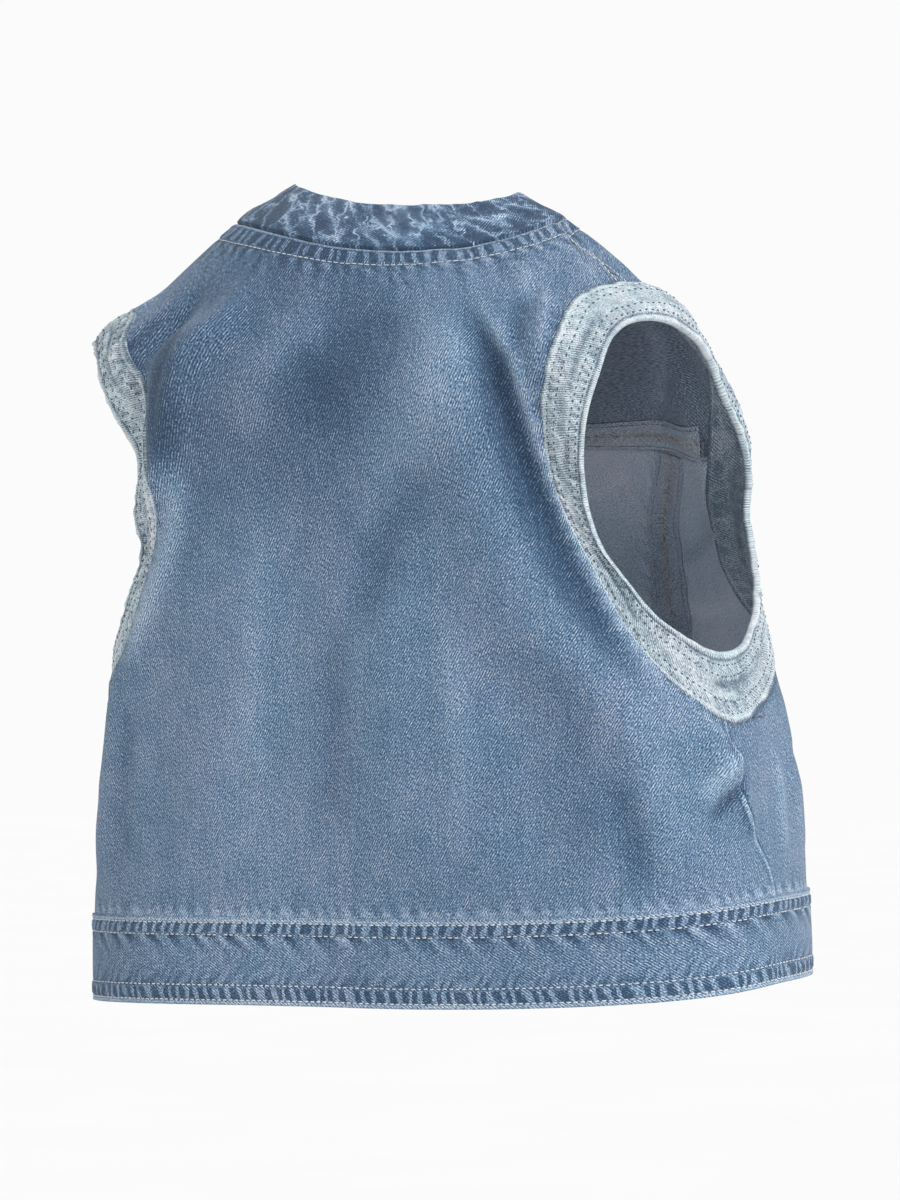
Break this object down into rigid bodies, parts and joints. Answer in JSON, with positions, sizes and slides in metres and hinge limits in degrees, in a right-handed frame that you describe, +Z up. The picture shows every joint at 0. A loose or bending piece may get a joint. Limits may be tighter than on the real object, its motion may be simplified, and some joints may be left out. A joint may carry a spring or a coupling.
{
  "type": "denim vest",
  "caption": "Child's sleeveless cropped denim vest, buttoned and filled out with no wearer, with a stand neckband, wide armhole bands and a deep hem band.",
  "frame": {"origin": "midway between the high points of the two shoulders, where the wearer's shoulders carry the vest", "axes": "+Z up, the fronts face -Y, the wearer's right side is towards -X"},
  "size_m": [0.3324, 0.1859, 0.3569],
  "materials": {
    "panel_denim": "washed light blue cotton twill",
    "band_denim": "washed light blue cotton twill, doubled and puckered along its stitching",
    "bleached_denim": "bleached pale blue-grey cotton twill, doubled",
    "button_metal": "dull plated"
  },
  "bodies": {
    "root": {"back_panel": "panel_denim", "front_side_R": "panel_denim", "front_centre_R": "panel_denim", "front_yoke_R": "panel_denim", "armhole_band_R": "bleached_denim", "front_side_L": "panel_denim", "front_centre_L": "panel_denim", "front_yoke_L": "panel_denim", "armhole_band_L": "bleached_denim", "placket": "band_denim", "button_stand": "band_denim", "neckband": "band_denim", "hem_band": "band_denim", "button_neckband": "button_metal", "button_placket_1": "button_metal", "button_placket_2": "button_metal", "button_placket_3": "button_metal", "button_placket_4": "button_metal", "button_hem_band": "button_metal"}
  },
  "joints": []
}
